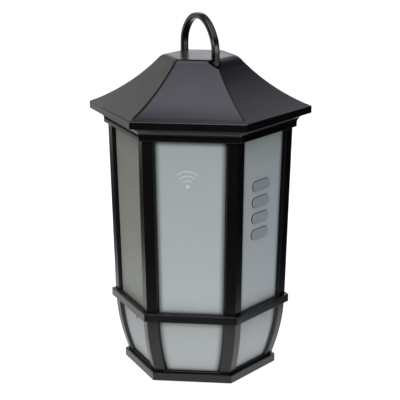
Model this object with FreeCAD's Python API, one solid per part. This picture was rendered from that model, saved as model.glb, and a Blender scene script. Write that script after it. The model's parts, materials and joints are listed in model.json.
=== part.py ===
import FreeCAD, Part
import math
import os
from FreeCAD import Matrix, Vector

# Six-sided lantern speaker. Millimetres, +Z up, origin on the ground under the centre.
# The front face looks along -Y. A hexagon's "corner" is its centre-to-corner radius,
# and its "apothem" is the centre-to-face distance.

# ---- overall ----
foot_lift = 1.0
base_corner = 78.5
base_height = 7.8
belt_corner = 91.8
belt_bottom = 66.9
belt_height = 7.8
post_corner_low = 87.6      # at the top of the belt
post_corner_high = 92.8     # at the cornice's lip
lip_corner = 97.3
lip_bottom = 250.2
eave_corner = 111.3
eave_bottom = 264.4
fascia_height = 7.4
plateau_corner = 37.4       # where the slope would meet the flat top if its rim were sharp
plateau_top = 320.4
slope_sag = 4.2             # how far each roof slope hollows from straight
rim_out = 3.9               # the rounded rim: out, in and down from the sharp corner
rim_in = 4.0
rim_drop = 3.2
rim_bulge = 0.84

# ---- walls and fits ----
frame_wall = 3.4            # posts stand this far proud of the panels
panel_wall = 2.4
grille_wall = 1.2
roof_wall = 2.6
leg_width = 10.2            # each leg of a corner post
mitre_gap = 0.35            # half the gap between neighbouring panels
flange_thick = 2.5

# ---- lower section ----
skirt_corner_low = 74.4
skirt_corner_high = 87.4
skirt_bulge = 2.1

# ---- hexagonal openings that join the roof, body and base, by corner ----
roof_opening = 92.0
frame_opening = 74.0
waist_opening = 68.0
base_well = 66.0
base_recess = 75.5

# ---- handle ----
handle_span = 76.8          # between the centre lines of its legs
handle_width = 7.5
handle_thick = 5.8
handle_leg = 10.0
handle_crown = 41.4         # centre line's height over the pivot
handle_round = 2.0
pivot_height = 317.5
pin_radius = 1.5
pin_clearance = 0.05
pin_start = 24.0
handle_swing = 45
hub_radius = 7.0
hub_start = 20.0
hub_end = 47.0

# ---- keys ----
key_length = 28.5
key_height = 9.6
key_pitch = 16.5
key_count = 4
key_proud = 1.2
key_travel = 1.0
key_gap = 0.3
key_offset = -2.0
key_group_z = 175.2

# ---- screws: one size for the case, one for the boards ----
screw_radius = 1.5
screw_length = 12.0
screw_head_radius = 2.8
screw_head_height = 2.2
board_screw_radius = 1.0
board_screw_length = 3.4
board_screw_head = 1.9
boss_radius = 3.6
roof_screw_ring = 80.0
belt_screw_ring = 75.0
base_screw_ring = 58.0

# ---- boards ----
board_wall = 1.6
key_board_half = 22.0
main_board_half = 32.0
main_board_low = 46.0       # up the rear face from the belt
main_board_high = 142.0
inlet_radius = 5.5
inlet_up = 16.0

# ---- loudspeaker, on the grille's face ----
baffle_wall = 4.0
baffle_half = 40.0
baffle_half_height = 62.0
driver_up = 100.0
driver_hole = 34.0
driver_rim = 39.5
driver_throat = 33.0
driver_back = 24.6
driver_screw_ring = 36.9
magnet_radius = 22.5
cone_radius = 28.3

# ---- battery bay ----
cell_radius = 13.1
cell_body = 48.5
cell_nub = 1.5
cell_ring = 28.6
cell_count = 6
cage_radius = 43.6
door_radius = 50.5
door_plug = 47.2
door_opening = 47.6
lug_reach = 50.0
lug_half_angle = 9
lug_angles = (0, 120, 240)
spring_height = 2.9
plate_height = 0.5
foot_ring = 68.0
lamp_ring = 50.0
lower_opening = 52.0

cos30 = math.cos(math.radians(30))
tan30 = math.tan(math.radians(30))
base_bottom = foot_lift
base_top = base_bottom + base_height
belt_top = belt_bottom + belt_height
belt_middle = belt_bottom + belt_height / 2
frame_top = lip_bottom + 6.3
fascia_top = eave_bottom + fascia_height
face_angles = {"front": -90, "control": -30, "right_rear": 30, "rear": 90, "left_rear": 150, "grille": -150}
corner_angles = [60 * i for i in range(6)]
above = 400                 # taller than anything here

# ---- heights and places worked out from the dimensions above ----
skirt_top = belt_bottom - 0.9
floor_bottom = base_bottom + 2.8
floor_top = floor_bottom + 3.0
lamp_seat = base_top + 9.2
face_lean = math.atan((post_corner_high - post_corner_low) * cos30 / (lip_bottom - belt_top))

key_middle = (key_group_z - belt_top) / math.cos(face_lean)
key_rows = [key_middle + ((key_count - 1) / 2 - i) * key_pitch for i in range(key_count)]
key_flange_top = -frame_wall - panel_wall - 0.35
key_stem_end = key_flange_top - 2.4
switch_top = key_stem_end - key_travel - 0.2
key_board_back = switch_top - 3.4 - board_wall
key_board_rows = (min(key_rows) - 13, max(key_rows) + 13)
key_board_holes = [(key_offset + side * 18, y) for side in (-1, 1) for y in key_board_rows]

main_board_back = -frame_wall - panel_wall - 9 - board_wall
main_board_rows = (main_board_low + 4, main_board_high - 14)
main_board_holes = [(x, y) for x in (-28, 28) for y in main_board_rows]

baffle_front = -frame_wall - grille_wall - 1.4
driver_face = baffle_front - baffle_wall
driver_screw_angles = [math.radians(45 + 90 * i) for i in range(4)]
driver_holes = [(driver_screw_ring * math.cos(a), driver_up + driver_screw_ring * math.sin(a))
                for a in driver_screw_angles]

cage_bottom = floor_bottom + 1.0
cell_floor = cage_bottom + 2
cell_ceiling = cell_floor + cell_body + cell_nub + spring_height + plate_height
cage_top = cell_ceiling + 2


# ---- shape helpers ----
def z_cylinder(radius, low, high, x=0.0, y=0.0):
    return Part.makeCylinder(radius, high - low, Vector(x, y, low))


def box(x0, x1, y0, y1, z0, z1):
    return Part.makeBox(x1 - x0, y1 - y0, z1 - z0, Vector(x0, y0, z0))


def turned(shape, angle):
    result = shape.copy()
    result.rotate(Vector(0, 0, 0), Vector(0, 0, 1), angle)
    return result


def round_the_corners(shape, angles=corner_angles):
    return [turned(shape, angle) for angle in angles]


def bulged(start, end, bulge):
    # the middle point of an arc from start to end, pushed to the right of the way it runs
    run = end - start
    side = Vector(run.z, 0, -run.x).normalize()
    return (start + end) * 0.5 + side * bulge


def hexagon_solid(outline):
    # outline: (corner, z) or (corner, z, bulge) steps, from the bottom's rim to the top's rim.
    # Its mirrored face is drawn into a bar, and three bars crossing leave the six-sided solid.
    points = [Vector(step[0] * cos30, 0, step[1]) for step in outline]
    edges = []
    for i in range(1, len(points)):
        start = points[i - 1]
        end = points[i]
        if len(outline[i]) == 3:
            edges.append(Part.Arc(start, bulged(start, end, outline[i][2]), end).toShape())
        else:
            edges.append(Part.LineSegment(start, end).toShape())
    mirrored = [edge.mirror(Vector(0, 0, 0), Vector(1, 0, 0)) for edge in edges]
    last = points[-1]
    first = points[0]
    edges.append(Part.LineSegment(last, Vector(-last.x, 0, last.z)).toShape())
    edges.append(Part.LineSegment(first, Vector(-first.x, 0, first.z)).toShape())
    face = Part.Face(Part.Wire(Part.__sortEdges__(edges + mirrored)))
    face.translate(Vector(0, -above / 2, 0))
    bar = face.extrude(Vector(0, above, 0))
    return turned(bar, 30).common(turned(bar, 90)).common(turned(bar, 150))


def hexagon_prism(corner, low, high):
    return hexagon_solid([(corner, low), (corner, high)])


def face_wedge(angle, margin, low, high):
    # the sector in front of one face, kept margin away from both of its corner planes
    reach = above / 2
    tip = Vector(margin / tan30, 0, low)
    left = Vector(reach, reach * tan30 - margin, low)
    right = Vector(reach, margin - reach * tan30, low)
    face = Part.Face(Part.makePolygon([tip, left, right, tip]))
    return turned(face.extrude(Vector(0, 0, high - low)), angle)


def stadium(length, height, low, high, x=0.0, y=0.0):
    radius = height / 2
    straight = length / 2 - radius
    body = box(x - straight, x + straight, y - radius, y + radius, low, high)
    ends = [z_cylinder(radius, low, high, x + side * straight, y) for side in (-1, 1)]
    return body.multiFuse(ends).removeSplitter()


def revolved(points):
    # points: (radius, z) round a closed section, turned about Z
    outline = [Vector(radius, 0, z) for radius, z in points]
    face = Part.Face(Part.makePolygon(outline + [outline[0]]))
    return face.revolve(Vector(0, 0, 0), Vector(0, 0, 1), 360)


def post_corner(z):
    slope = (post_corner_high - post_corner_low) / (lip_bottom - belt_top)
    return post_corner_low + slope * (z - belt_top)


def skirt_solid(inset, low, high):
    # the curved body of the lower section, moved in by inset and cut level at low and high
    body = hexagon_solid([
        (shift_in(skirt_corner_low, inset), base_top),
        (shift_in(skirt_corner_high, inset), skirt_top, skirt_bulge),
        (shift_in(skirt_corner_high, inset), belt_middle),
    ])
    return body.common(box(-above, above, -above, above, low, high))


def shift_in(corner, depth):
    return corner - depth / cos30


def on_face(shape, angle):
    # local X runs level along a face of the post frame, Y up its slope, Z out of it.
    # The local origin is on the face's middle line, at the top of the belt.
    around = math.radians(angle)
    c = math.cos(around)
    s = math.sin(around)
    cl = math.cos(face_lean)
    sl = math.sin(face_lean)
    out = post_corner_low * cos30
    place = Matrix(-s, c * sl, c * cl, c * out, c, s * sl, s * cl, s * out, 0, cl, -sl, belt_top, 0, 0, 0, 1)
    return shape.transformed(place)


# ---- roof ----
def roof_outer():
    return hexagon_solid([
        (eave_corner, eave_bottom),
        (eave_corner, fascia_top - 1.0),
        (eave_corner - 1.0, fascia_top, 0.22),
        (plateau_corner + rim_out, plateau_top - rim_drop, -slope_sag),
        (plateau_corner - rim_in, plateau_top, rim_bulge),
    ])


def roof_inner():
    ceiling = plateau_top - roof_wall
    return hexagon_solid([
        (shift_in(eave_corner, roof_wall), eave_bottom - 1),
        (shift_in(eave_corner, roof_wall), fascia_top - roof_wall),
        (plateau_corner, ceiling - 1.4, -slope_sag),
        (plateau_corner - rim_in, ceiling, 0.3),
    ])


def x_cylinder(radius, start, end):
    # a cylinder on the handle's pivot line, before it is turned into place
    return Part.makeCylinder(radius, end - start, Vector(start, 0, pivot_height), Vector(1, 0, 0))


def along_pivot(shape):
    # turns a shape made along +X so that it lies along the front-right corner's diagonal
    return turned(shape, -60)


def handle_pocket():
    # the room that one foot and its leg need while the handle tilts from stop to stop
    room = 0.5
    inner = handle_span / 2 - handle_thick / 2 - room
    outer = inner + 30
    half = handle_width / 2 + room
    centre = Vector(0, 0, pivot_height)
    pocket = x_cylinder(half, inner, outer)
    reach = handle_swing + 2
    steps = 6
    sweep = []
    for step in range(steps + 1):
        leg = box(inner, outer, -half, half, pivot_height, pivot_height + handle_crown)
        leg.rotate(centre, Vector(1, 0, 0), reach * (2 * step / steps - 1))
        sweep.append(leg)
    return pocket.multiFuse(sweep)


def roof_shell():
    outer = roof_outer()
    shell = outer.cut(roof_inner())
    hub = x_cylinder(hub_radius, hub_start, hub_end)
    hubs = [along_pivot(hub), turned(along_pivot(hub), 180)]
    boss = z_cylinder(boss_radius, frame_top + 0.2 + flange_thick, fascia_top + 18, roof_screw_ring, 0)
    solids = [item.common(outer) for item in hubs]
    inside = outer.fuse(hexagon_prism(roof_opening - 2, lip_bottom, eave_bottom + 6))
    solids += [item.common(inside) for item in round_the_corners(boss)]
    shell = shell.multiFuse(solids)
    pocket = handle_pocket()
    pin_hole = x_cylinder(pin_radius, pin_start, pin_start + 30)
    tools = [along_pivot(pocket), turned(along_pivot(pocket), 180)]
    tools += [along_pivot(pin_hole), turned(along_pivot(pin_hole), 180)]
    pilot_top = frame_top - flange_thick + screw_length + 1
    pilot = z_cylinder(screw_radius, frame_top, pilot_top, roof_screw_ring, 0)
    tools += round_the_corners(pilot)
    return shell.cut(Part.makeCompound(tools)).removeSplitter()


def handle_pins():
    pin = x_cylinder(pin_radius, pin_start, handle_span / 2 + 1.1)
    return Part.makeCompound([along_pivot(pin), turned(along_pivot(pin), 180)])


def other_side(point):
    return Vector(-point.x, point.y, point.z)


def handle():
    # a three-centred arch on two straight legs, with a rounded bar section
    half = handle_span / 2
    rise = handle_crown - handle_leg
    small = 24.0
    drop = ((half - small) ** 2 - (rise - small) ** 2) / (2 * (rise - small))
    large = rise + drop
    spring = pivot_height + handle_leg
    lean = math.atan2(half - small, drop)
    meet = Vector(large * math.sin(lean), 0, spring - drop + large * math.cos(lean))
    middle = (math.pi / 2 - lean) / 2
    shoulder = Vector(half - small + small * math.cos(middle), 0, spring + small * math.sin(middle))
    crown = Vector(0, 0, pivot_height + handle_crown)
    foot = Vector(half, 0, pivot_height)
    top = Vector(half, 0, spring)
    path = Part.Wire([
        Part.LineSegment(foot, top).toShape(),
        Part.Arc(top, shoulder, meet).toShape(),
        Part.Arc(meet, crown, other_side(meet)).toShape(),
        Part.Arc(other_side(meet), other_side(shoulder), other_side(top)).toShape(),
        Part.LineSegment(other_side(top), other_side(foot)).toShape(),
    ])
    bar = Part.makeBox(handle_thick, handle_width, 1)
    bar = bar.makeFillet(handle_round, [edge for edge in bar.Edges if abs(edge.tangentAt(0).z) > 0.9])
    section = [face for face in bar.Faces if abs(face.normalAt(0, 0).z + 1) < 0.01][0].OuterWire
    section.translate(Vector(half - handle_thick / 2, -handle_width / 2, pivot_height))
    arch = path.makePipeShell([section], True, False)
    feet = []
    bores = []
    for side in (-1, 1):
        end = x_cylinder(handle_width / 2, half - handle_thick / 2, half + handle_thick / 2)
        bore = x_cylinder(pin_radius + pin_clearance, half - handle_thick / 2, half + 1.4)
        end = end.makeFillet(1.2, [edge for edge in end.Edges if edge.Curve.TypeId == "Part::GeomCircle"])
        feet.append(turned(end, 0 if side > 0 else 180))
        bores.append(turned(bore, 0 if side > 0 else 180))
    return along_pivot(arch.multiFuse(feet).cut(Part.makeCompound(bores)).removeSplitter())


# ---- cornice and frames ----
def cornice_ring():
    soffit = eave_bottom + 0.5
    outer = hexagon_solid([
        (lip_corner, lip_bottom),
        (lip_corner, lip_bottom + 1.8),
        (103.8, soffit - 2.6, -1.9),
        (103.8, soffit),
        (shift_in(eave_corner, roof_wall) - 0.2, soffit),
        (shift_in(eave_corner, roof_wall) - 0.2, soffit + 2.4),
    ])
    seat = frame_top + 0.2
    socket = hexagon_prism(post_corner(frame_top) + 0.1, lip_bottom - 1, seat)
    well = hexagon_prism(frame_opening, lip_bottom, above)
    chamber = hexagon_prism(roof_opening, seat + flange_thick, above)
    holes = round_the_corners(z_cylinder(screw_radius + 0.2, frame_top, seat + 4, roof_screw_ring, 0))
    return outer.cut(Part.makeCompound([socket, well, chamber])).cut(Part.makeCompound(holes))


def post_frame():
    low = belt_middle
    outer = hexagon_solid([(post_corner(low), low), (post_corner(frame_top), frame_top)])
    in_low = low + flange_thick
    in_high = frame_top - flange_thick
    inner = hexagon_solid([
        (shift_in(post_corner(in_low), frame_wall), in_low),
        (shift_in(post_corner(in_high), frame_wall), in_high),
    ])
    frame = outer.cut(inner)
    frame = frame.cut(hexagon_prism(waist_opening, low - 1, in_low + 1))
    frame = frame.cut(hexagon_prism(frame_opening, in_high - 1, above))
    windows = [face_wedge(angle, leg_width, belt_top + 0.5, lip_bottom + 2) for angle in face_angles.values()]
    frame = frame.cut(Part.makeCompound(windows))
    bosses = round_the_corners(z_cylinder(boss_radius, in_low - 0.5, in_low + 10.5, belt_screw_ring, 0))
    frame = frame.multiFuse(bosses)
    holes = round_the_corners(z_cylinder(screw_radius, low - 1, low - flange_thick + screw_length + 0.5,
                                         belt_screw_ring, 0))
    holes += round_the_corners(z_cylinder(screw_radius + 0.2, in_high - 1, above, roof_screw_ring, 0))
    return frame.cut(Part.makeCompound(holes)).removeSplitter()


def belt_ring():
    edge = 0.6
    band = hexagon_solid([
        (belt_corner - edge, belt_bottom),
        (belt_corner, belt_bottom + edge, 0.15),
        (belt_corner, belt_top - edge),
        (belt_corner - edge, belt_top, 0.15),
    ])
    return band.cut(hexagon_prism(post_corner_low + 0.1, belt_bottom - 1, belt_top + 1))


def lower_frame():
    top = belt_middle
    frame = skirt_solid(0, base_top, top).cut(skirt_solid(frame_wall, base_top + 2.0, top - flange_thick))
    frame = frame.cut(z_cylinder(lower_opening, base_top - 1, base_top + 4))
    frame = frame.cut(hexagon_prism(waist_opening, top - flange_thick - 1, top + 1))
    windows = [face_wedge(angle, leg_width, base_top + 1.9, belt_bottom) for angle in face_angles.values()]
    frame = frame.cut(Part.makeCompound(windows))
    boss = z_cylinder(boss_radius, base_top + 1, lamp_seat, base_screw_ring, 0)
    frame = frame.multiFuse(round_the_corners(boss))
    drills = [
        z_cylinder(screw_radius, base_top - 1, floor_bottom + screw_length + 0.3, base_screw_ring, 0),
        z_cylinder(board_screw_radius, lamp_seat - 2, lamp_seat + 1, base_screw_ring, 0),
        z_cylinder(screw_radius + 0.2, top - 4, top + 1, belt_screw_ring, 0),
    ]
    holes = []
    for drill in drills:
        holes += round_the_corners(drill)
    return frame.cut(Part.makeCompound(holes)).removeSplitter()


# ---- panels ----
def upper_panel(name, wall):
    low = belt_middle + flange_thick + 0.2
    high = frame_top - flange_thick - 0.2
    layers = []
    for depth in (frame_wall + 0.05, frame_wall + 0.05 + wall):
        layers.append(hexagon_solid([
            (shift_in(post_corner(low), depth), low),
            (shift_in(post_corner(high), depth), high),
        ]))
    return layers[0].cut(layers[1]).common(face_wedge(face_angles[name], mitre_gap, low, high))


def lower_panel(angle):
    low = base_top + 2.1
    high = belt_middle - flange_thick - 0.2
    outside = frame_wall + 0.05
    sheet = skirt_solid(outside, low, high).cut(skirt_solid(outside + panel_wall, low, high))
    return sheet.common(face_wedge(angle, mitre_gap, low, high))


def standoffs(places, low, high, radius=3.0):
    return [z_cylinder(radius, low, high, x, y) for x, y in places]


def control_panel():
    panel = upper_panel("control", panel_wall)
    legs = standoffs(key_board_holes, key_board_back + board_wall, -frame_wall - panel_wall + 0.3)
    panel = panel.multiFuse([on_face(leg, face_angles["control"]) for leg in legs])
    slot_length = key_length + 2 * key_gap
    slot_height = key_height + 2 * key_gap
    tools = [stadium(slot_length, slot_height, -12, 1, key_offset, y) for y in key_rows]
    seat = key_board_back + board_wall
    tools += standoffs(key_board_holes, seat - 1, seat + 2.4, board_screw_radius)
    return panel.cut(on_face(Part.makeCompound(tools), face_angles["control"]))


def rear_panel():
    panel = upper_panel("rear", panel_wall)
    legs = standoffs(main_board_holes, main_board_back + board_wall, -frame_wall - panel_wall + 0.3)
    panel = panel.multiFuse([on_face(leg, face_angles["rear"]) for leg in legs])
    seat = main_board_back + board_wall
    tools = standoffs(main_board_holes, seat - 1, seat + 2.4, board_screw_radius)
    tools.append(z_cylinder(inlet_radius + 0.1, -10, 1, 0, inlet_up))
    return panel.cut(on_face(Part.makeCompound(tools), face_angles["rear"]))


# ---- keys and their board ----
def key(y):
    face = -frame_wall
    cap = stadium(key_length, key_height, face - panel_wall - 0.8, face + key_proud, key_offset, y)
    rim = [edge for edge in cap.Edges if edge.BoundBox.ZMin > face + key_proud - 0.01]
    cap = cap.makeFillet(0.7, rim)
    flange = stadium(key_length + 3, key_height + 3, key_flange_top - 1.0, key_flange_top, key_offset, y)
    stem = z_cylinder(2.0, key_stem_end, key_flange_top - 0.9, key_offset, y)
    return on_face(cap.multiFuse([flange, stem]).removeSplitter(), face_angles["control"])


def key_board():
    low = min(key_rows) - 17
    high = max(key_rows) + 17
    board = box(key_offset - key_board_half, key_offset + key_board_half, low, high,
                key_board_back, key_board_back + board_wall)
    holes = standoffs(key_board_holes, key_board_back - 1, key_board_back + 3, board_screw_radius + 0.1)
    return on_face(board.cut(Part.makeCompound(holes)), face_angles["control"])


def key_switch(y):
    seat = key_board_back + board_wall
    body = box(key_offset - 3, key_offset + 3, y - 3, y + 3, seat, seat + 2.2)
    plunger = z_cylinder(1.7, seat + 2.2, switch_top, key_offset, y)
    return on_face(body.fuse(plunger), face_angles["control"])


# ---- sound ----
def speaker_baffle():
    front = baffle_front
    board = box(-baffle_half, baffle_half, driver_up - baffle_half_height, driver_up + baffle_half_height,
                front - baffle_wall, front)
    board = board.makeFillet(6, [edge for edge in board.Edges if abs(edge.tangentAt(0).z) > 0.9])
    hole = z_cylinder(driver_hole, front - 10, front + 1, 0, driver_up)
    pilots = standoffs(driver_holes, front - 10, front + 1, screw_radius)
    return on_face(board.cut(Part.makeCompound([hole] + pilots)), face_angles["grille"])


def driver_shape(points):
    # points: (radius, depth) round a section that turns about the loudspeaker's axis
    shape = revolved(points)
    shape.translate(Vector(0, driver_up, driver_face))
    return on_face(shape, face_angles["grille"])


def driver_basket():
    rim = revolved([
        (driver_throat, 0), (driver_rim, 0), (driver_rim, -2.0),
        (driver_throat + 1.2, -2.0), (driver_throat, -3.0),
    ])
    cage = revolved([
        (driver_throat, -1.0), (driver_throat + 1.6, -1.0), (driver_back, -22.0), (driver_back, -23.5),
        (10.0, -23.5), (10.0, -21.8), (driver_back - 1.6, -21.8),
    ])
    windows = [turned(box(14, 45, -9, 9, -19, -5), angle) for angle in range(45, 360, 90)]
    basket = rim.fuse(cage.cut(Part.makeCompound(windows)))
    basket.translate(Vector(0, driver_up, driver_face))
    holes = standoffs(driver_holes, driver_face - 5, driver_face + 1, screw_radius + 0.1)
    return on_face(basket.cut(Part.makeCompound(holes)).removeSplitter(), face_angles["grille"])


def driver_magnet():
    # a ring magnet between two steel plates, on the back of the basket
    plate = magnet_radius - 2.5
    return driver_shape([
        (0, -24), (0, -42), (plate, -42), (plate, -40), (magnet_radius, -40), (magnet_radius, -26),
        (plate, -26), (plate, -23.5), (10, -23.5), (10, -24),
    ])


def driver_cone():
    return driver_shape([(cone_radius - 0.9, -2.0), (cone_radius, -2.0), (9.0, -16.0), (8.1, -16.0)])


def driver_surround():
    # the half-round rubber roll between the cone's edge and the basket
    outer = driver_throat - 0.05
    return driver_shape([
        (cone_radius, -2.0), (29.2, -0.6), (30.6, 0.0), (32.0, -0.3), (outer, -0.3), (outer, -0.95),
        (31.8, -1.0), (30.6, -0.8), (29.8, -1.4), (cone_radius, -2.8),
    ])


def driver_dust_cap():
    return driver_shape([
        (0, -10.6), (4.0, -11.2), (7.6, -12.8), (9.8, -14.7),
        (9.2, -15.1), (7.0, -13.6), (3.8, -12.0), (0, -11.4),
    ])


def driver_screws():
    screws = []
    for x, y in driver_holes:
        shank = z_cylinder(screw_radius, driver_face - 2.0, driver_face + baffle_wall - 0.2, x, y)
        head = z_cylinder(screw_head_radius - 0.3, driver_face - 4.0, driver_face - 2.0, x, y)
        screws.append(on_face(shank.fuse(head), face_angles["grille"]))
    return Part.makeCompound(screws)


# ---- electrics ----
def main_board():
    back = main_board_back
    board = box(-main_board_half, main_board_half, main_board_low, main_board_high, back, back + board_wall)
    holes = standoffs(main_board_holes, back - 1, back + 3, board_screw_radius + 0.1)
    board = board.cut(Part.makeCompound(holes))
    cans = [z_cylinder(4.0, back - 11, back, x, main_board_low + 18) for x in (-20, -9, 2)]
    chip = box(-22, -12, main_board_low + 62, main_board_low + 72, back - 1.4, back)
    return on_face(board.multiFuse(cans + [chip]), face_angles["rear"])


def heat_sink():
    back = main_board_back
    low = main_board_low + 30
    foot = box(-24, 4, low, low + 24, back - 3, back)
    fins = [box(x, x + 1.5, low, low + 24, back - 14, back - 3) for x in range(-24, 4, 5)]
    return on_face(foot.multiFuse(fins), face_angles["rear"])


def receiver_can():
    back = main_board_back
    low = main_board_high - 34
    return on_face(box(2, 26, low, low + 20, back - 5, back), face_angles["rear"])


def antenna():
    back = main_board_back
    foot = box(20, 28, main_board_high - 10, main_board_high - 3, back - 4, back)
    rod = Part.makeCylinder(1.0, 62, Vector(24, main_board_high - 8, back - 2), Vector(0, 1, 0))
    return on_face(foot.fuse(rod), face_angles["rear"])


def power_inlet():
    face = -(frame_wall + 0.05) * math.cos(face_lean)
    flange = z_cylinder(7.2, face, face + 1.0, 0, inlet_up)
    barrel = z_cylinder(inlet_radius, face - 12, face + 0.2, 0, inlet_up)
    mouth = z_cylinder(2.9, face - 9, face + 2, 0, inlet_up)
    pin = z_cylinder(1.0, face - 10, face - 1, 0, inlet_up)
    return on_face(flange.fuse(barrel).cut(mouth).fuse(pin).removeSplitter(), face_angles["rear"])


def lamp_board():
    board = hexagon_prism(64.0, lamp_seat, lamp_seat + board_wall)
    hole = z_cylinder(board_screw_radius + 0.1, lamp_seat - 1, lamp_seat + 3, base_screw_ring, 0)
    centre = z_cylinder(cage_radius + 1, lamp_seat - 1, lamp_seat + 3)
    return board.cut(centre).cut(Part.makeCompound(round_the_corners(hole)))


def lamp_leds():
    seat = lamp_seat + board_wall
    led = box(lamp_ring - 2.5, lamp_ring + 2.5, -2.5, 2.5, seat, seat + 1.6)
    return Part.makeCompound(round_the_corners(led, [30 * i + 15 for i in range(12)]))


def status_lens():
    # a small round lens set through the curved panel under the speaker grille
    z = 57.6
    outer = skirt_solid(frame_wall, base_top, belt_middle)
    probe = Part.makeLine(Vector(60, 5.6, z), Vector(90, 5.6, z))
    surface_x = max(vertex.X for vertex in turned(outer, -30).common(probe).Vertexes)
    lens = Part.makeCylinder(1.7, 4.2, Vector(surface_x - 3.8, 5.6, z), Vector(1, 0, 0))
    return turned(lens, face_angles["grille"])


# ---- base and battery bay ----
def base_plate():
    edge = 0.6
    block = hexagon_solid([
        (base_corner - edge, base_bottom),
        (base_corner, base_bottom + edge, 0.15),
        (base_corner, base_top - edge),
        (base_corner - edge, base_top, 0.15),
    ])
    recess = hexagon_prism(base_recess, base_bottom - 1, floor_bottom)
    well = hexagon_prism(base_well, floor_top, base_top + 1)
    opening = z_cylinder(door_opening, floor_bottom - 1, floor_top + 1)
    base = block.cut(Part.makeCompound([recess, well, opening]))
    spacers = round_the_corners(z_cylinder(boss_radius, floor_top - 0.5, base_top, base_screw_ring, 0))
    base = base.multiFuse(spacers)
    notch = z_cylinder(lug_reach + 0.6, floor_bottom - 1, floor_top + 1)
    notch = notch.common(lug_sector(lug_half_angle + 2, 40))
    holes = round_the_corners(z_cylinder(screw_radius + 0.2, 0, base_top + 1, base_screw_ring, 0))
    return base.cut(Part.makeCompound(round_the_corners(notch, lug_angles) + holes)).removeSplitter()


def lug_sector(half_angle, centre):
    # an upright wedge about one direction, used to cut the lugs and their notches
    reach = 80
    points = [Vector(0, 0, 0)]
    for side in (-1, 1):
        angle = math.radians(centre + side * half_angle)
        points.append(Vector(reach * math.cos(angle), reach * math.sin(angle), 0))
    face = Part.Face(Part.makePolygon(points + [points[0]]))
    return face.extrude(Vector(0, 0, 30))


def battery_door():
    low = 1.5
    rim_top = floor_bottom - 0.3
    plate = z_cylinder(door_radius, low, rim_top).fuse(z_cylinder(door_plug, low, rim_top + 1.0))
    ring = z_cylinder(door_plug, rim_top, floor_top + 2.3).cut(z_cylinder(door_plug - 2.8, 0, above))
    lug = z_cylinder(lug_reach, floor_top + 0.3, floor_top + 2.3).cut(z_cylinder(door_plug - 1.0, 0, above))
    lugs = round_the_corners(lug.common(lug_sector(lug_half_angle, 0)), lug_angles)
    door = plate.multiFuse([ring] + lugs)
    groove = z_cylinder(49.9, rim_top - 0.8, above).cut(z_cylinder(48.1, 0, above))
    groove = groove.common(z_cylinder(60, 0, rim_top + 0.05))
    finger = z_cylinder(16, low - 1, low + 1.6).cut(box(-3, 3, -30, 30, 0, 10))
    return door.cut(groove).cut(finger).removeSplitter()


def door_seal():
    top = floor_bottom - 0.12
    return z_cylinder(49.8, top - 0.9, top).cut(z_cylinder(48.2, 0, above))


def battery_cage():
    discs = [z_cylinder(cage_radius, low, low + 2) for low in (cage_bottom, cage_top - 2)]
    column = z_cylinder(13.0, cage_bottom, cage_top)
    return column.multiFuse(discs)


def cell_place(index):
    angle = math.radians(60 * index + 30)
    return cell_ring * math.cos(angle), cell_ring * math.sin(angle)


def battery_cell(index):
    x, y = cell_place(index)
    if index % 2 == 0:
        foot = cell_floor + spring_height
        nub = z_cylinder(2.9, foot + cell_body, foot + cell_body + cell_nub, x, y)
    else:
        foot = cell_floor + plate_height + cell_nub
        nub = z_cylinder(2.9, foot - cell_nub, foot, x, y)
    body = z_cylinder(cell_radius, foot, foot + cell_body, x, y)
    ends = [edge for edge in body.Edges if edge.Curve.TypeId == "Part::GeomCircle"]
    return body.makeFillet(0.8, ends).fuse(nub)


def contact_springs():
    springs = []
    for index in range(cell_count):
        x, y = cell_place(index)
        cone = revolved([(6.5, 0), (7.3, 0), (4.4, spring_height), (3.6, spring_height)])
        if index % 2 == 1:
            cone.rotate(Vector(0, 0, spring_height / 2), Vector(1, 0, 0), 180)
            cone.translate(Vector(0, 0, cell_ceiling - spring_height - cell_floor))
        cone.translate(Vector(x, y, cell_floor))
        springs.append(cone)
    return Part.makeCompound(springs)


def contact_plates():
    plates = []
    for index in range(cell_count):
        x, y = cell_place(index)
        low = cell_floor if index % 2 == 1 else cell_ceiling - plate_height
        plates.append(z_cylinder(6.0, low, low + plate_height, x, y))
    return Part.makeCompound(plates)


def rubber_feet():
    foot = Part.makeCone(4.4, 5.0, floor_bottom, Vector(foot_ring, 0, 0))
    return Part.makeCompound(round_the_corners(foot))


# ---- screws ----
def upright_screw(radius, length, head_radius, head_height, x, seat, way):
    # way +1: the shank points up from its head's seat; way -1: down
    tip = seat + way * length
    end = seat - way * head_height
    slot_floor = end + way * head_height * 0.45
    shank = z_cylinder(radius, min(seat, tip), max(seat, tip), x, 0)
    head = z_cylinder(head_radius, min(seat, end), max(seat, end), x, 0)
    slot = box(x - head_radius, x + head_radius, -0.4, 0.4, min(end, slot_floor), max(end, slot_floor))
    return shank.fuse(head).cut(slot)


def case_screws():
    seats = [
        (roof_screw_ring, frame_top - flange_thick),
        (belt_screw_ring, belt_middle - flange_thick),
        (base_screw_ring, floor_bottom),
    ]
    screws = []
    for ring, seat in seats:
        screw = upright_screw(screw_radius, screw_length, screw_head_radius, screw_head_height, ring, seat, 1)
        screws += round_the_corners(screw)
    return Part.makeCompound(screws)


def board_screws():
    screws = []
    groups = [("control", key_board_holes, key_board_back), ("rear", main_board_holes, main_board_back)]
    for name, places, back in groups:
        for x, y in places:
            screw = upright_screw(board_screw_radius, board_screw_length, board_screw_head, 1.2, x, back, 1)
            screw.translate(Vector(0, y, 0))
            screws.append(on_face(screw, face_angles[name]))
    seat = lamp_seat + board_wall
    lamp_screw = upright_screw(board_screw_radius, board_screw_length, board_screw_head, 1.2,
                               base_screw_ring, seat, -1)
    return Part.makeCompound(screws + round_the_corners(lamp_screw))


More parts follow.
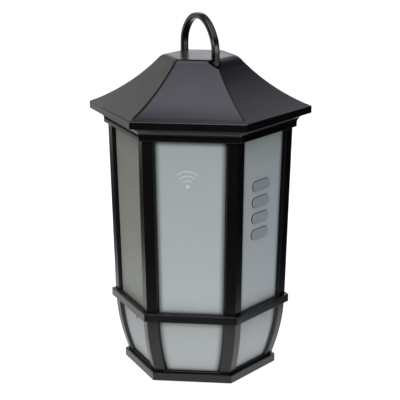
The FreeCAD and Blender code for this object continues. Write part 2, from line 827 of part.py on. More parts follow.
# ---- build ----
nodes = {}
nodes["roof_shell"] = roof_shell()
nodes["handle_pins"] = handle_pins()
nodes["handle"] = handle()
nodes["cornice_ring"] = cornice_ring()
nodes["post_frame"] = post_frame()
nodes["belt_ring"] = belt_ring()
nodes["lower_frame"] = lower_frame()
nodes["front_panel"] = upper_panel("front", panel_wall)
nodes["control_panel"] = control_panel()
nodes["speaker_grille"] = upper_panel("grille", grille_wall)
nodes["rear_panel"] = rear_panel()
nodes["left_rear_panel"] = upper_panel("left_rear", panel_wall)
nodes["right_rear_panel"] = upper_panel("right_rear", panel_wall)
for face_name, face_angle in face_angles.items():
    nodes["lower_panel_" + face_name] = lower_panel(face_angle)
nodes["status_lens"] = status_lens()
nodes["lower_panel_grille"] = nodes["lower_panel_grille"].cut(nodes["status_lens"])
for number, row in enumerate(key_rows, 1):
    nodes["key_%d" % number] = key(row)
    nodes["key_switch_%d" % number] = key_switch(row)
nodes["key_board"] = key_board()
nodes["speaker_baffle"] = speaker_baffle()
nodes["driver_basket"] = driver_basket()
nodes["driver_magnet"] = driver_magnet()
nodes["driver_cone"] = driver_cone()
nodes["driver_surround"] = driver_surround()
nodes["driver_dust_cap"] = driver_dust_cap()
nodes["driver_screws"] = driver_screws()
nodes["main_board"] = main_board()
nodes["heat_sink"] = heat_sink()
nodes["receiver_can"] = receiver_can()
nodes["antenna"] = antenna()
nodes["power_inlet"] = power_inlet()
nodes["lamp_board"] = lamp_board()
nodes["lamp_leds"] = lamp_leds()
nodes["base_plate"] = base_plate()
nodes["rubber_feet"] = rubber_feet()
nodes["battery_door"] = battery_door()
nodes["door_seal"] = door_seal()
nodes["battery_cage"] = battery_cage()
for number in range(cell_count):
    nodes["battery_cell_%d" % (number + 1)] = battery_cell(number)
nodes["contact_springs"] = contact_springs()
nodes["contact_plates"] = contact_plates()
nodes["case_screws"] = case_screws()
nodes["board_screws"] = board_screws()

os.makedirs("parts", exist_ok=True)
for node_name, shape in nodes.items():
    box_size = shape.BoundBox
    valid = shape.isValid()
    print("%-22s solids %2d valid %s z %.1f..%.1f volume %.0f" % (
        node_name, len(shape.Solids), valid, box_size.ZMin, box_size.ZMax, shape.Volume))
    shape.exportStep("parts/%s.step" % node_name)
print(len(nodes), "nodes")
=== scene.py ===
import bpy
import bmesh
import json
import math
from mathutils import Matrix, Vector

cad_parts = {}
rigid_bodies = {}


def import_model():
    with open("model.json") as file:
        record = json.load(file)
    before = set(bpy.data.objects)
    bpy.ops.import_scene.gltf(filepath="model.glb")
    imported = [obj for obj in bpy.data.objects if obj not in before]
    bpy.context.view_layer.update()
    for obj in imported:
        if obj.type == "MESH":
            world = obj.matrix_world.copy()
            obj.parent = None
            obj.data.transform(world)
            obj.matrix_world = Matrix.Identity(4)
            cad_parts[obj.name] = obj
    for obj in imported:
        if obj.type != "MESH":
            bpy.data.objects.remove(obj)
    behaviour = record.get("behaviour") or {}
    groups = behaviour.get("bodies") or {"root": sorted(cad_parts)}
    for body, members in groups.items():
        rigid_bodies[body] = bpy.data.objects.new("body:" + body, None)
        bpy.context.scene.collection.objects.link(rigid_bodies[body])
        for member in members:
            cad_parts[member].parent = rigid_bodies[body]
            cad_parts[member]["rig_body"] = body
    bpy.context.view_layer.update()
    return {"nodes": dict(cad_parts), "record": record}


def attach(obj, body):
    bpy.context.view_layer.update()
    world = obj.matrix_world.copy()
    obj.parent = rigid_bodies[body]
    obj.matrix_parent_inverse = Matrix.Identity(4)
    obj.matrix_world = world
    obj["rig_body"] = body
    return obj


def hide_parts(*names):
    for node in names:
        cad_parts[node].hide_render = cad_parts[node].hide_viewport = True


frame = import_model()
print("frame loaded:", len(frame["nodes"]), "nodes")

mm = 0.001
cos30 = math.cos(math.radians(30))
tan30 = math.tan(math.radians(30))
tolerance = {"weld": 0.001, "plane": 0.02, "ridge": 0.05}  # mm within which points count as together

studio = {
    "aim": (0, 0, 157.4), "distance": 1472.0, "yaw": 6.5, "pitch": 15.75,  # mm and degrees
    "lens": 130.2, "sensorWidth": 36, "shiftX": 0.0008, "shiftY": 0.0334, "clipEnd": 50,  # clipEnd in metres
    "room": "#d2deff", "roomLight": 0.08,
}
# a lit white table in a dim room: it is only as wide as the camera sees, so the black parts stay deep.
# A second lit card lies far off on the left, where only the left-hand eave can see it.
table = {
    "outline": [(-0.22, -0.21), (0.208, -0.21), (0.31, 3.6), (-1.24, 3.6)],  # metres
    "card": [(-2.4, 0.0), (-0.86, 0.0), (-0.86, 1.9), (-2.4, 1.9)],
    "white": "#d6d6d6", "glow": 0.67, "glowTint": "#ffffff",
    "dark": "#0c0c0e", "darkHalf": 8.0, "darkDrop": 0.004,  # the floor: half its width, and how far down
}
lampAim = (0, 0, 0.17)  # metres: about the middle of the lantern
lamps = {
    # place, width and height in metres, watts, tint
    "overheadBox": ((0.12, -0.2, 2.0), (1.5, 1.9), 29, "#f1edff"),
    "frontBox": ((0.0, -2.1, 1.65), (1.3, 0.8), 32, "#fffefa"),
    "backdropBox": ((0.0, 3.2, 1.0), (3.0, 1.1), 14, "#ffffff"),
    "backLeftBox": ((-1.35, 1.25, 0.95), (1.2, 0.9), 3.0, "#fdfef4"),
    "backRightBox": ((0.62, 1.5, 1.55), (1.1, 0.8), 1.8, "#f1edff"),
    "frontLeftBox": ((-1.5, -1.5, 0.9), (1.0, 1.2), 17, "#fffff6"),
    "frontRightBox": ((1.7, -1.3, 0.55), (0.8, 1.0), 14, "#fffdf9"),
}


def hexToLinear(code):
    # sRGB hex to the linear values that a shader takes
    channels = [int(code[i:i + 2], 16) / 255 for i in (1, 3, 5)]
    return tuple(c / 12.92 if c <= 0.04045 else ((c + 0.055) / 1.055) ** 2.4 for c in channels) + (1.0,)


def addNode(tree, kind, settings, inputs):
    # one node: its settings, then each input as a value, a socket or another node's first output
    node = tree.nodes.new(kind)
    for name, value in settings.items():
        setattr(node, name, value)
    for name, value in inputs.items():
        if isinstance(value, bpy.types.Node):
            value = value.outputs[0]
        if isinstance(value, bpy.types.NodeSocket):
            tree.links.new(value, node.inputs[name])
        else:
            node.inputs[name].default_value = value
    return node


def addObject(name, mesh):
    obj = bpy.data.objects.new(name, mesh)
    bpy.context.scene.collection.objects.link(obj)
    return obj


def aimAt(obj, target):
    obj.rotation_euler = (Vector(target) - obj.location).to_track_quat("-Z", "Y").to_euler()


def addCamera():
    yaw = math.radians(studio["yaw"])
    pitch = math.radians(studio["pitch"])
    back = Vector((math.sin(yaw) * math.cos(pitch), -math.cos(yaw) * math.cos(pitch), math.sin(pitch)))
    camera = addObject("camera", bpy.data.cameras.new("camera"))
    aim = Vector(studio["aim"]) * mm
    camera.location = aim + back * studio["distance"] * mm
    aimAt(camera, aim)
    camera.data.lens = studio["lens"]
    camera.data.sensor_width = studio["sensorWidth"]
    camera.data.shift_x = studio["shiftX"]
    camera.data.shift_y = studio["shiftY"]
    camera.data.clip_end = studio["clipEnd"]
    bpy.context.scene.camera = camera


def addLamps():
    for name, (place, (width, height), watts, tint) in lamps.items():
        data = bpy.data.lights.new(name, "AREA")
        data.shape = "RECTANGLE"
        data.size = width
        data.size_y = height
        data.energy = watts
        data.color = hexToLinear(tint)[:3]
        light = addObject(name, data)
        light.location = place
        aimAt(light, lampAim)


def addSurface(name, outline, height, colour, glow):
    # a flat stage surface, matt, which may shine a little by itself
    mesh = bpy.data.meshes.new(name)
    mesh.from_pydata([(x, y, height) for x, y in outline], [], [list(range(len(outline)))])
    material = bpy.data.materials.new(name)
    material.use_nodes = True
    shader = material.node_tree.nodes["Principled BSDF"]
    shader.inputs["Base Color"].default_value = hexToLinear(colour)
    shader.inputs["Roughness"].default_value = 1.0
    shader.inputs["Specular IOR Level"].default_value = 0.0
    shader.inputs["Emission Color"].default_value = hexToLinear(table["glowTint"])
    shader.inputs["Emission Strength"].default_value = glow
    mesh.materials.append(material)
    addObject(name, mesh)


def addStudio():
    world = bpy.data.worlds.new("studio")
    world.use_nodes = True
    background = world.node_tree.nodes["Background"]
    background.inputs["Color"].default_value = hexToLinear(studio["room"])
    background.inputs["Strength"].default_value = studio["roomLight"]
    bpy.context.scene.world = world
    bpy.context.scene.view_settings.view_transform = "Standard"
    addLamps()
    addSurface("litTable", table["outline"], 0.0, table["white"], table["glow"])
    addSurface("farCard", table["card"], 0.0, table["white"], table["glow"])
    half = table["darkHalf"]
    square = [(-half, -half), (half, -half), (half, half), (-half, half)]
    addSurface("darkFloor", square, -table["darkDrop"], table["dark"], 0.0)


addCamera()
addStudio()
print("camera and studio are set")


def startMaterial(name, colour, roughness, **sockets):
    # a material with its even values on the shader's own sockets
    material = bpy.data.materials.new(name)
    material.use_nodes = True
    tree = material.node_tree
    shader = tree.nodes["Principled BSDF"]
    shader.inputs["Base Color"].default_value = hexToLinear(colour)
    shader.inputs["Roughness"].default_value = roughness
    for socket, value in sockets.items():
        shader.inputs[socket.replace("_", " ")].default_value = value
    place = addNode(tree, "ShaderNodeTexCoord", {}, {}).outputs["Object"]  # metres in the object's own frame
    return material, tree, shader, place


def addGrain(tree, shader, place, grainMm, heightMm):
    # a moulded or cast skin: uneven grain as bump, coarser than the real one, which is too fine to show
    noise = addNode(tree, "ShaderNodeTexNoise", {}, {
        "Vector": place, "Scale": 1 / (grainMm * mm), "Detail": 3.0, "Roughness": 0.6})
    bump = addNode(tree, "ShaderNodeBump", {}, {
        "Height": noise, "Distance": heightMm * mm, "Strength": 1.0})
    tree.links.new(bump.outputs["Normal"], shader.inputs["Normal"])


def varyRoughness(tree, shader, place, patchMm, low, high):
    # handling and moulding leave the gloss uneven in soft patches; noise seldom leaves 0.3 to 0.7
    noise = addNode(tree, "ShaderNodeTexNoise", {}, {
        "Vector": place, "Scale": 1 / (patchMm * mm), "Detail": 4.0})
    spread = addNode(tree, "ShaderNodeMapRange", {}, {
        "Value": noise, "From Min": 0.3, "From Max": 0.7, "To Min": low, "To Max": high})
    tree.links.new(spread.outputs["Result"], shader.inputs["Roughness"])


def mottle(tree, shader, place, patchMm, colourA, colourB, detail=6.0):
    # two close tones in uneven patches
    noise = addNode(tree, "ShaderNodeTexNoise", {}, {
        "Vector": place, "Scale": 1 / (patchMm * mm), "Detail": detail})
    mix = addNode(tree, "ShaderNodeMix", {"data_type": "RGBA"}, {
        "Factor": noise, 6: hexToLinear(colourA), 7: hexToLinear(colourB)})
    tree.links.new(mix.outputs[2], shader.inputs["Base Color"])


def satinAbs():
    # black ABS from a satin-etched mould: deep black, with a wide soft sheen only where it faces a light
    material, tree, shader, place = startMaterial("satinAbs", "#060607", 0.3, Specular_IOR_Level=0.38)
    addGrain(tree, shader, place, 0.7, 0.002)
    varyRoughness(tree, shader, place, 22, 0.28, 0.33)
    return material


def polishedAbs():
    # the handle's bar comes from a smoother mould, so its highlights are narrower streaks
    material, tree, shader, place = startMaterial("polishedAbs", "#060606", 0.24, Specular_IOR_Level=0.38)
    addGrain(tree, shader, place, 1.6, 0.004)
    varyRoughness(tree, shader, place, 14, 0.21, 0.28)
    return material


# where the frame covers the panels, in mm: the soft dark borders of painted shade start just under its edge
# and grow inward
panelLook = {
    "cornerLeg": 11.8, "frameAhead": 3.4, "underFrame": 1.0, "edgeShadeWidth": 6.0, "sillShadeWidth": 3.8,
    "upperLow": 75.2, "upperHigh": 250.2, "lowerLow": 10.7, "lowerHigh": 66.9,
    "cloudPatch": 35, "cloudShare": 0.1,
}


def paintedFrameShade(tree, place, low, high):
    # 0 beside the frame, 1 on the open face: a mask for painted shade, darker where the frame backs and
    #                                         shades the panel.
    # Each point's bearing is folded to the nearest face's middle line, so one graph serves all six.
    halfFace = math.radians(30)
    start = -panelLook["underFrame"] * mm
    margin = (panelLook["frameAhead"] * tan30 - panelLook["cornerLeg"]) * mm
    axes = addNode(tree, "ShaderNodeSeparateXYZ", {}, {"Vector": place}).outputs
    level = addNode(tree, "ShaderNodeVectorMath", {"operation": "MULTIPLY"}, {0: place, 1: (1, 1, 0)})
    reach = addNode(tree, "ShaderNodeVectorMath", {"operation": "LENGTH"}, {0: level}).outputs["Value"]
    turn = addNode(tree, "ShaderNodeMath", {"operation": "ARCTAN2"}, {0: axes["Y"], 1: axes["X"]})
    ahead = addNode(tree, "ShaderNodeMath", {"operation": "SUBTRACT"}, {0: turn, 1: halfFace})
    bearing = addNode(tree, "ShaderNodeMath", {"operation": "WRAP"}, {0: ahead, 1: halfFace, 2: -halfFace})
    cosine = addNode(tree, "ShaderNodeMath", {"operation": "COSINE"}, {0: bearing})
    sine = addNode(tree, "ShaderNodeMath", {"operation": "SINE"}, {0: bearing})
    offAxis = addNode(tree, "ShaderNodeMath", {"operation": "ABSOLUTE"}, {0: sine})
    outward = addNode(tree, "ShaderNodeMath", {"operation": "MULTIPLY"}, {0: reach, 1: cosine})
    sideways = addNode(tree, "ShaderNodeMath", {"operation": "MULTIPLY"}, {0: reach, 1: offAxis})
    window = addNode(tree, "ShaderNodeMath", {"operation": "MULTIPLY_ADD"}, {0: outward, 1: tan30, 2: margin})
    fromSide = addNode(tree, "ShaderNodeMath", {"operation": "SUBTRACT"}, {0: window, 1: sideways})
    fromLow = addNode(tree, "ShaderNodeMath", {"operation": "SUBTRACT"}, {0: axes["Z"], 1: low * mm})
    fromHigh = addNode(tree, "ShaderNodeMath", {"operation": "SUBTRACT"}, {0: high * mm, 1: axes["Z"]})
    fromSill = addNode(tree, "ShaderNodeMath", {"operation": "MINIMUM"}, {0: fromLow, 1: fromHigh})
    side = addNode(tree, "ShaderNodeMapRange", {"interpolation_type": "SMOOTHSTEP"}, {
        "Value": fromSide, "From Min": start, "From Max": panelLook["edgeShadeWidth"] * mm})
    sill = addNode(tree, "ShaderNodeMapRange", {"interpolation_type": "SMOOTHSTEP"}, {
        "Value": fromSill, "From Min": start, "From Max": panelLook["sillShadeWidth"] * mm})
    return addNode(tree, "ShaderNodeMath", {"operation": "MULTIPLY"}, {0: side, 1: sill})


def opalStyrene(name, colour, edge, low, high):
    # moulded grey styrene, slightly see-through: even and matt, with soft dark borders of painted shade at
    # the frame
    material, tree, shader, place = startMaterial(name, colour, 0.55, Specular_IOR_Level=0.3)
    cloud = addNode(tree, "ShaderNodeTexNoise", {}, {
        "Vector": place, "Scale": 1 / (panelLook["cloudPatch"] * mm), "Detail": 3.0})
    share = panelLook["cloudShare"]
    frameShadeMask = paintedFrameShade(tree, place, low, high)
    faint = addNode(tree, "ShaderNodeMath", {"operation": "MULTIPLY_ADD"}, {
        0: cloud, 1: share, 2: -share / 2})
    # the painted-shade mask from the frame, with a faint random cloud of tone on top
    clear = addNode(tree, "ShaderNodeMath", {"operation": "ADD"}, {0: frameShadeMask, 1: faint})
    mix = addNode(tree, "ShaderNodeMix", {"data_type": "RGBA"}, {
        "Factor": clear, 6: hexToLinear(edge), 7: hexToLinear(colour)})
    tree.links.new(mix.outputs[2], shader.inputs["Base Color"])
    addGrain(tree, shader, place, 0.8, 0.004)
    return material


def keyResin():
    # grey keys with darker side walls, so that each key's side walls draw its outline: painted shade for the
    # shadow in the gap round each key.
    # A wall turned well away from the way the panel faces gets the painted shade, and the rest is cap.
    # painted shade: the dark colour of the side walls, standing for the shadow in the gap round each key
    body = "#3d4449"
    cap = "#8c949b"
    material, tree, shader, place = startMaterial("keyResin", cap, 0.45, Specular_IOR_Level=0.4)
    facing = math.radians(-30)  # the way the control panel faces
    normal = addNode(tree, "ShaderNodeTexCoord", {}, {}).outputs["Normal"]
    outward = addNode(tree, "ShaderNodeVectorMath", {"operation": "DOT_PRODUCT"}, {
        0: normal, 1: (math.cos(facing), math.sin(facing), 0)})
    onCap = addNode(tree, "ShaderNodeMapRange", {}, {
        "Value": outward.outputs["Value"], "From Min": 0.5, "From Max": 0.8})
    mix = addNode(tree, "ShaderNodeMix", {"data_type": "RGBA"}, {
        "Factor": onCap, 6: hexToLinear(body), 7: hexToLinear(cap)})
    tree.links.new(mix.outputs[2], shader.inputs["Base Color"])
    addGrain(tree, shader, place, 0.6, 0.006)
    return material


def powderedSteel():
    # perforated steel with a grey powder coat: its tone uneven in soft patches, and a fine orange-peel
    material, tree, shader, place = startMaterial("powderedSteel", "#8b8f87", 0.5, Specular_IOR_Level=0.45)
    mottle(tree, shader, place, 9, "#8a8e86", "#949891", 5.0)
    addGrain(tree, shader, place, 0.5, 0.006)
    return material


def whiteInk():
    # pad-printed ink: thin, matt and a little broken at its edges
    material, tree, shader, place = startMaterial("whiteInk", "#d0d5d5", 0.6)
    mottle(tree, shader, place, 1.2, "#bcc3c4", "#d8dcdc", 4.0)
    return material


def smokedAcrylic():
    # a polished dark lens over a small indicator
    material, tree, shader, place = startMaterial("smokedAcrylic", "#1c1d1a", 0.12, Coat_Weight=0.3)
    varyRoughness(tree, shader, place, 2, 0.1, 0.18)
    return material


def moulded(name, colour, roughness):
    # an unseen moulded part: plain pellets, light texture
    material, tree, shader, place = startMaterial(name, colour, roughness)
    addGrain(tree, shader, place, 0.9, 0.01)
    varyRoughness(tree, shader, place, 12, roughness - 0.05, roughness + 0.06)
    return material


def zincPlated():
    # zinc-plated steel: bright, slightly blue, with cloudy patches
    material, tree, shader, place = startMaterial("zincPlated", "#b9bcc0", 0.34, Metallic=1.0)
    mottle(tree, shader, place, 1.8, "#c6c9cc", "#a3a8b0", 3.0)
    varyRoughness(tree, shader, place, 3, 0.26, 0.42)
    return material


def extrudedAluminium():
    # extruded along its fins: fine lines in one direction
    material, tree, shader, place = startMaterial("extrudedAluminium", "#c9cbcd", 0.38, Metallic=1.0)
    stretch = addNode(tree, "ShaderNodeMapping", {}, {"Vector": place, "Scale": (1, 1, 0.04)})
    lines = addNode(tree, "ShaderNodeTexNoise", {}, {
        "Vector": stretch, "Scale": 1 / (0.4 * mm), "Detail": 2.0})
    bump = addNode(tree, "ShaderNodeBump", {}, {"Height": lines, "Distance": 0.02 * mm})
    tree.links.new(bump.outputs["Normal"], shader.inputs["Normal"])
    return material


def siliconeRubber():
    # moulded rubber: matt black with a dusty bloom
    material, tree, shader, place = startMaterial("siliconeRubber", "#141414", 0.8, Specular_IOR_Level=0.3)
    mottle(tree, shader, place, 4, "#0f0f0f", "#242424")
    addGrain(tree, shader, place, 0.5, 0.02)
    return material


def solderMask():
    # a lacquered board: green, with slightly paler copper tracks under the lacquer
    material, tree, shader, place = startMaterial("solderMask", "#0e4a2a", 0.3, Coat_Weight=0.4,
                                                  Coat_Roughness=0.15)
    tracks = addNode(tree, "ShaderNodeTexBrick", {"offset": 0.5}, {
        "Vector": place, "Scale": 1 / (12 * mm), "Mortar Size": 0.05,
        "Color1": hexToLinear("#0e4a2a"), "Color2": hexToLinear("#115230"), "Mortar": hexToLinear("#2b7a4b")})
    tree.links.new(tracks.outputs["Color"], shader.inputs["Base Color"])
    addGrain(tree, shader, place, 1.5, 0.01)
    return material


def sinteredFerrite():
    # sintered ferrite: charcoal, stony and slightly speckled
    material, tree, shader, place = startMaterial("sinteredFerrite", "#2c2c2e", 0.6)
    mottle(tree, shader, place, 0.8, "#202022", "#3d3d40", 8.0)
    addGrain(tree, shader, place, 0.6, 0.03)
    return material


def pressedPaper():
    # pulp pressed on a screen: black, fibrous and matt
    material, tree, shader, place = startMaterial("pressedPaper", "#1a1918", 0.85, Sheen_Weight=0.2)
    mottle(tree, shader, place, 0.7, "#121110", "#2d2b29", 8.0)
    addGrain(tree, shader, place, 0.7, 0.05)
    return material


def paintedFibreboard():
    # fibreboard rolled with black paint, so nothing pale shows through the grille
    material, tree, shader, place = startMaterial("paintedFibreboard", "#17140f", 0.8)
    mottle(tree, shader, place, 1.1, "#0e0c0a", "#2b241c")
    addGrain(tree, shader, place, 0.9, 0.03)
    return material


def cellSleeve():
    # a shrunk plastic sleeve with one plain copper-coloured band round its upper part
    dark = "#1b2436"
    copper = "#9a6a3a"
    bandStart = 42  # mm above the table
    material, tree, shader, place = startMaterial("cellSleeve", dark, 0.25, Coat_Weight=0.3)
    height = addNode(tree, "ShaderNodeSeparateXYZ", {}, {"Vector": place}).outputs["Z"]
    band = addNode(tree, "ShaderNodeMath", {"operation": "GREATER_THAN"}, {0: height, 1: bandStart * mm})
    mix = addNode(tree, "ShaderNodeMix", {"data_type": "RGBA"}, {
        "Factor": band, 6: hexToLinear(dark), 7: hexToLinear(copper)})
    tree.links.new(mix.outputs[2], shader.inputs["Base Color"])
    addGrain(tree, shader, place, 6, 0.02)
    return material


def phosphorCap():
    # yellow phosphor in clear resin
    material, tree, shader, place = startMaterial("phosphorCap", "#d8b24a", 0.3, Coat_Weight=0.5)
    mottle(tree, shader, place, 0.5, "#c79d35", "#e8c866", 4.0)
    return material


finishes = {
    "black_abs": satinAbs(),
    # each panel finish: its own grey, then the darker colour of the painted shade at its borders by the frame
    "grey_panel": opalStyrene("opalStyrene", "#a2aaad", "#4c5356", panelLook["upperLow"],
                              panelLook["upperHigh"]),
    "frosted_panel": opalStyrene("frostedStyrene", "#959a9b", "#4f5657", panelLook["lowerLow"],
                                 panelLook["lowerHigh"]),
    "grille_mesh": powderedSteel(),
    "key_grey": keyResin(),
    "switch_black": moulded("switchNylon", "#18181a", 0.45),
    "circuit_board": solderMask(),
    "black_rubber": siliconeRubber(),
    "plated_steel": zincPlated(),
    "ferrite": sinteredFerrite(),
    "paper_cone": pressedPaper(),
    "fibreboard": paintedFibreboard(),
    "heat_sink_alloy": extrudedAluminium(),
    "cell_wrap": cellSleeve(),
    "cage_plastic": moulded("cageNylon", "#222224", 0.5),
    "led_yellow": phosphorCap(),
    "lens_plastic": smokedAcrylic(),
}
handleFinish = polishedAbs()
inkFinish = whiteInk()


def dress(obj, material):
    obj.data.materials.clear()
    obj.data.materials.append(material)


for row in frame["record"]["subparts"]:
    dress(frame["nodes"][row["node"]], finishes[row["material_slot"]])
dress(frame["nodes"]["handle"], handleFinish)
print("materials are on the frame")


# case mouldings, in mm: how far out and between which heights their edges are softened, and the setback.
# Some take it only on the ridges that run up or down through the six corners.
softEdges = {
    "roof": {"node": "roof_shell", "beyond": 27, "low": 272.8, "high": 321,
             "setback": 2.2, "ridgesOnly": True},
    "cornice": {"node": "cornice_ring", "beyond": 82.5, "low": 250, "high": 264,
                "setback": 0.8, "ridgesOnly": False},
    "bodyFrame": {"node": "post_frame", "beyond": 72.5, "low": 75.1, "high": 252.5,
                  "setback": 0.8, "ridgesOnly": False},
    "belt": {"node": "belt_ring", "beyond": 78, "low": 66, "high": 76,
             "setback": 0.9, "ridgesOnly": True},
    "lowerFrame": {"node": "lower_frame", "beyond": 62, "low": 9.5, "high": 67.2,
                   "setback": 0.8, "ridgesOnly": False},
    "base": {"node": "base_plate", "beyond": 66.5, "low": 0.9, "high": 9,
             "setback": 0.9, "ridgesOnly": True},
}
softSteps = {
    "flat": 1.0, "ridge": 8, "sharp": 28,  # degrees between faces: one plane, a ridge, a sharp edge
    "facing": 0.6,  # a rim counts when one of its faces looks outward by this much
    "segments": 3, "profile": 0.5, "areaWeight": 60,
    "mostSides": 4,  # a face with more sides is a flat one, and is shaded flat
}


def faceDistance(point):
    # how far out a point lies, measured square to the nearest face
    bearing = math.atan2(point.y, point.x) - math.radians(30)
    folded = (bearing + math.radians(30)) % math.radians(60) - math.radians(30)
    return math.hypot(point.x, point.y) * math.cos(folded)


def onRidge(point):
    # true on one of the six upright planes through the corners
    bearing = math.degrees(math.atan2(point.y, point.x)) % 60
    away = math.radians(min(bearing, 60 - bearing))
    return math.hypot(point.x, point.y) * math.sin(away) < tolerance["ridge"] * mm


def takesSoftening(edge, look):
    # the ridges always, and an outward rim only where the piece asks for more than its ridges
    if len(edge.link_faces) != 2 or edge.calc_face_angle(0) < math.radians(softSteps["ridge"]):
        return False
    for vert in edge.verts:
        if not look["low"] * mm <= vert.co.z <= look["high"] * mm:
            return False
        if faceDistance(vert.co) < look["beyond"] * mm:
            return False
    ridge = all(onRidge(vert.co) for vert in edge.verts)
    if ridge or look["ridgesOnly"]:
        return ridge
    middle = (edge.verts[0].co + edge.verts[1].co) / 2
    outward = Vector((middle.x, middle.y, 0)).normalized()
    facing = any(face.normal.dot(outward) > softSteps["facing"] for face in edge.link_faces)
    return facing and edge.calc_face_angle(0) > math.radians(softSteps["sharp"])


def softenedPart(name, look):
    # the CAD part's shape with the radii that its mould has along the edges that show
    mesh = frame["nodes"][look["node"]].data.copy()
    mesh.name = name
    shape = bmesh.new()
    shape.from_mesh(mesh)
    bmesh.ops.remove_doubles(shape, verts=shape.verts, dist=tolerance["weld"] * mm)
    bmesh.ops.dissolve_limit(shape, angle_limit=math.radians(softSteps["flat"]), verts=shape.verts,
                             edges=shape.edges)
    reach = max(faceDistance(vert.co) for vert in shape.verts)
    chosen = [edge for edge in shape.edges if takesSoftening(edge, look)]
    bmesh.ops.bevel(shape, geom=chosen, offset=look["setback"] * mm, offset_type="OFFSET", affect="EDGES",
                    segments=softSteps["segments"], profile=softSteps["profile"], clamp_overlap=False)
    print("softened", name, len(chosen), "edges")
    for vert in shape.verts:
        vert.co.xy /= max(1.0, faceDistance(vert.co) / reach)  # nothing may pass the moulding's own outline
    for face in shape.faces:
        face.smooth = len(face.verts) <= softSteps["mostSides"]
    for edge in shape.edges:
        edge.smooth = edge.calc_face_angle(0) < math.radians(softSteps["sharp"])
    shape.to_mesh(mesh)
    shape.free()
    if "custom_normal" in mesh.attributes:
        mesh.attributes.remove(mesh.attributes["custom_normal"])
    piece = addObject(name, mesh)
    weighted = piece.modifiers.new("evenShading", "WEIGHTED_NORMAL")
    weighted.keep_sharp = True
    weighted.weight = softSteps["areaWeight"]
    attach(piece, frame["nodes"][look["node"]]["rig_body"])
    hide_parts(look["node"])
    return piece


for pieceName, look in softEdges.items():
    dress(softenedPart(pieceName, look), finishes["black_abs"])


def outerFace(node):
    # a flat panel's outer face: its middle, its level, upward and outward directions, and its corner points
    mesh = frame["nodes"][node].data
    outer = [polygon for polygon in mesh.polygons if polygon.normal.xy.dot(polygon.center.xy) > 0]
    biggest = max(outer, key=lambda polygon: polygon.area)
    out = biggest.normal.normalized()
    plane = out.dot(biggest.center)
    corners = [v.co for v in mesh.vertices if abs(out.dot(v.co) - plane) < tolerance["plane"] * mm]
    across = Vector((0, 0, 1)).cross(out).normalized()
    up = out.cross(across)
    middle = sum((Vector(c) for c in corners), Vector()) / len(corners)
    return {"middle": middle, "across": across, "up": up, "out": out, "corners": corners}


def onFace(face, x, y, depth):
    # millimetres along, up and out of a face to a point in the frame
    return face["middle"] + (face["across"] * x + face["up"] * y + face["out"] * depth) * mm


grilleLook = {
    "pitch": 2.4, "hole": 1.3, "wall": 1.2, "edge": 1.2, "solidBorder": 7.6,  # mm: coarse enough to show
    "holeSides": 12, "jointSteps": 50,  # cell corners that agree to a fiftieth of a millimetre are one point
}
cellReach = grilleLook["pitch"] / math.sqrt(3)  # from a cell's middle to its corners


def grilleCells(face):
    # each cell's middle, row by row and staggered by half a pitch, and whether it is pierced
    flat = [((c - face["middle"]).dot(face["across"]) / mm, (c - face["middle"]).dot(face["up"]) / mm)
            for c in face["corners"]]
    top = max(y for x, y in flat)
    bottom = min(y for x, y in flat)
    halfTop = max(x for x, y in flat if y > 0)
    halfBottom = max(x for x, y in flat if y < 0)
    pitch = grilleLook["pitch"]
    edge = grilleLook["edge"]
    rowStep = pitch * cos30
    for row in range(int((top - bottom) / rowStep)):
        y = bottom + edge + cellReach + row * rowStep
        if y > top - edge - cellReach:
            return
        half = halfBottom + (halfTop - halfBottom) * (y - bottom) / (top - bottom) - edge
        shift = pitch / 2 if row % 2 else 0
        reach = int((half - pitch / 2) / pitch)
        for column in range(-reach - 1, reach + 2):
            x = column * pitch + shift
            if abs(x) + pitch / 2 <= half:
                yield x, y, abs(x) <= half - grilleLook["solidBorder"]


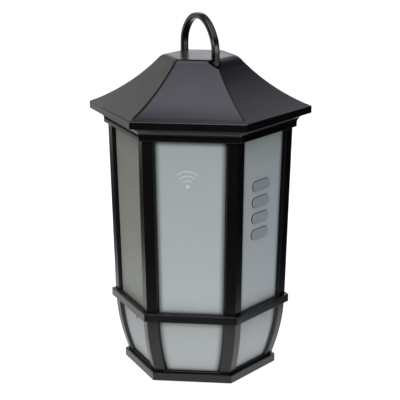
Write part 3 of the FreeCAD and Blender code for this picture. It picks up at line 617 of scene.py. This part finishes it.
def perforatedGrille():
    # round holes in staggered rows, each in its own six-sided cell; the cells beside the frame stay solid
    face = outerFace("speaker_grille")
    sides = grilleLook["holeSides"]
    perSide = sides // 6
    points = []
    shared = {}
    faces = []
    rims = {}

    def cornerPair(x, y):
        # a cell corner's outer and inner points, shared with the neighbouring cells
        key = (round(x * grilleLook["jointSteps"]), round(y * grilleLook["jointSteps"]))
        if key not in shared:
            shared[key] = (len(points), len(points) + 1)
            points.extend([onFace(face, x, y, 0), onFace(face, x, y, -grilleLook["wall"])])
        return shared[key]

    for x, y, pierced in grilleCells(face):
        ring = [cornerPair(x + cellReach * math.sin(math.radians(60 * k)),
                           y + cellReach * math.cos(math.radians(60 * k))) for k in range(6)]
        outer = [pair[0] for pair in ring]
        inner = [pair[1] for pair in ring]
        for k in range(6):
            side = frozenset((outer[k], outer[(k + 1) % 6]))
            rims[side] = None if side in rims else (ring[k], ring[(k + 1) % 6])
        if not pierced:
            faces.append(outer[::-1])
            faces.append(inner)
            continue
        start = len(points)
        for depth in (0, -grilleLook["wall"]):
            for step in range(sides):
                turn = 2 * math.pi * step / sides
                points.append(onFace(face, x + grilleLook["hole"] / 2 * math.sin(turn),
                                     y + grilleLook["hole"] / 2 * math.cos(turn), depth))
        for k in range(6):
            front = [start + (k * perSide + i) % sides for i in range(perSide + 1)]
            back = [i + sides for i in front]
            faces.append([outer[(k + 1) % 6], outer[k]] + front)
            faces.append([inner[k], inner[(k + 1) % 6]] + back[::-1])
        for step in range(sides):
            after = (step + 1) % sides
            faces.append([start + step, start + sides + step, start + sides + after, start + after])
    for pairs in rims.values():
        if pairs:  # a side that no other cell shares: the sheet's own edge
            faces.append([pairs[0][0], pairs[1][0], pairs[1][1], pairs[0][1]])
    mesh = bpy.data.meshes.new("perforatedGrille")
    mesh.from_pydata(points, [], faces)
    shape = bmesh.new()
    shape.from_mesh(mesh)
    bmesh.ops.recalc_face_normals(shape, faces=shape.faces)
    loose = [edge for edge in shape.edges if len(edge.link_faces) != 2]
    shape.to_mesh(mesh)
    shape.free()
    piece = addObject("perforatedGrille", mesh)
    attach(piece, "housing")
    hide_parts("speaker_grille")
    print("grille faces", len(mesh.polygons), "open edges", len(loose))
    return piece


dress(perforatedGrille(), finishes["grille_mesh"])


# the printed mark: a dot and three arcs, in mm and degrees
markLook = {
    "across": -3.0, "height": 205.0, "arcs": (6.0, 10.5, 15.0), "line": 0.8, "spread": 42,
    "dot": 1.6, "dotCore": 0.1, "dotTurn": 359,  # the dot is a strip too, so its two ends stay apart
    "film": (0.01, 0.06), "steps": 18,
}


def flatRing(shape, face, x, y, inner, outer, fromTurn, toTurn):
    # a thin film of ink between two radii, as a closed strip
    low, high = markLook["film"]
    steps = markLook["steps"]
    rows = []
    for step in range(steps + 1):
        turn = math.radians(fromTurn + (toTurn - fromTurn) * step / steps)
        row = []
        for radius, depth in ((inner, low), (outer, low), (outer, high), (inner, high)):
            point = onFace(face, x + radius * math.sin(turn), y + radius * math.cos(turn), depth)
            row.append(shape.verts.new(point))
        rows.append(row)
    for a, b in zip(rows, rows[1:]):
        for k in range(4):
            shape.faces.new([a[k], a[(k + 1) % 4], b[(k + 1) % 4], b[k]])
    shape.faces.new(rows[0][::-1])
    shape.faces.new(rows[-1])


def printedMark():
    face = outerFace("front_panel")
    x = markLook["across"]
    y = (markLook["height"] * mm - face["middle"].z) / face["up"].z / mm
    shape = bmesh.new()
    half = markLook["line"] / 2
    spread = markLook["spread"]
    for radius in markLook["arcs"]:
        flatRing(shape, face, x, y, radius - half, radius + half, -spread, spread)
    flatRing(shape, face, x, y, markLook["dotCore"], markLook["dot"], 0, markLook["dotTurn"])
    bmesh.ops.recalc_face_normals(shape, faces=shape.faces)
    mesh = bpy.data.meshes.new("printedMark")
    shape.to_mesh(mesh)
    shape.free()
    piece = addObject("printedMark", mesh)
    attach(piece, "housing")
    return piece


dress(printedMark(), inkFinish)
print("grille and mark are made")
